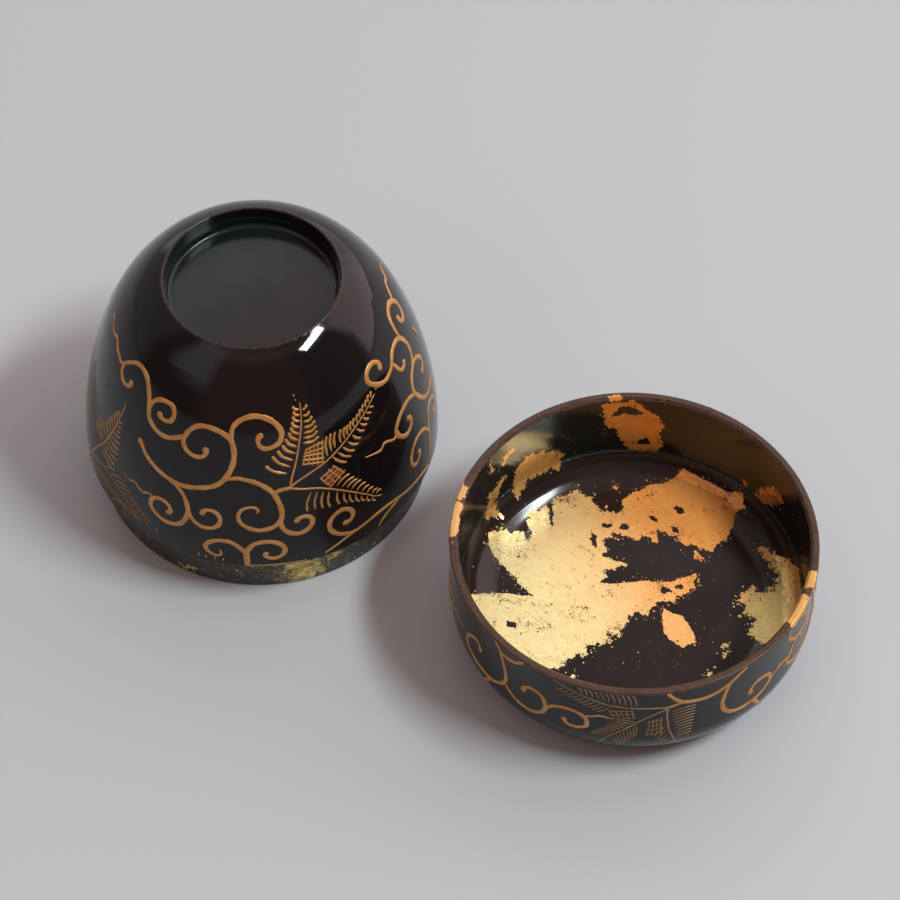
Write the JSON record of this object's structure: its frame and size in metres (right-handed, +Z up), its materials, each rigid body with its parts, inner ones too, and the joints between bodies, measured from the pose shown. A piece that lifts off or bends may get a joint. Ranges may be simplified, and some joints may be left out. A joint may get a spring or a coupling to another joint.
{
  "type": "lacquered tea caddy with lid",
  "caption": "Round black lacquer tea caddy shown open, its body standing on its mouth beside the upturned lid, with raised gold scrolls, fern sprays and gold leaf inside the lid.",
  "frame": {"origin": "on the table, midway between the axis of the body and the axis of the lid", "axes": "+X from the body towards the lid, +Y away from the usual viewer, +Z up"},
  "size_m": [0.144, 0.066, 0.0527],
  "materials": {
    "black_lacquer": "polished black lacquer",
    "collar_dust": "black lacquer with worn gold and silver powder",
    "lid_lacquer": "polished black lacquer, worn brown at the rim",
    "raised_gold": "raised gold powder lines, softly burnished",
    "gold_leaf": "thin beaten gold leaf, torn and pinholed"
  },
  "bodies": {
    "body": {"body_shell": "black_lacquer", "mouth_collar": "collar_dust"},
    "lid": {"lid_shell": "lid_lacquer"}
  },
  "joints": [
    {"name": "lid_lift", "type": "slide", "parent": "body", "child": "lid", "axis": [0, 0, 1], "range_m": [0, 0.08]}
  ]
}
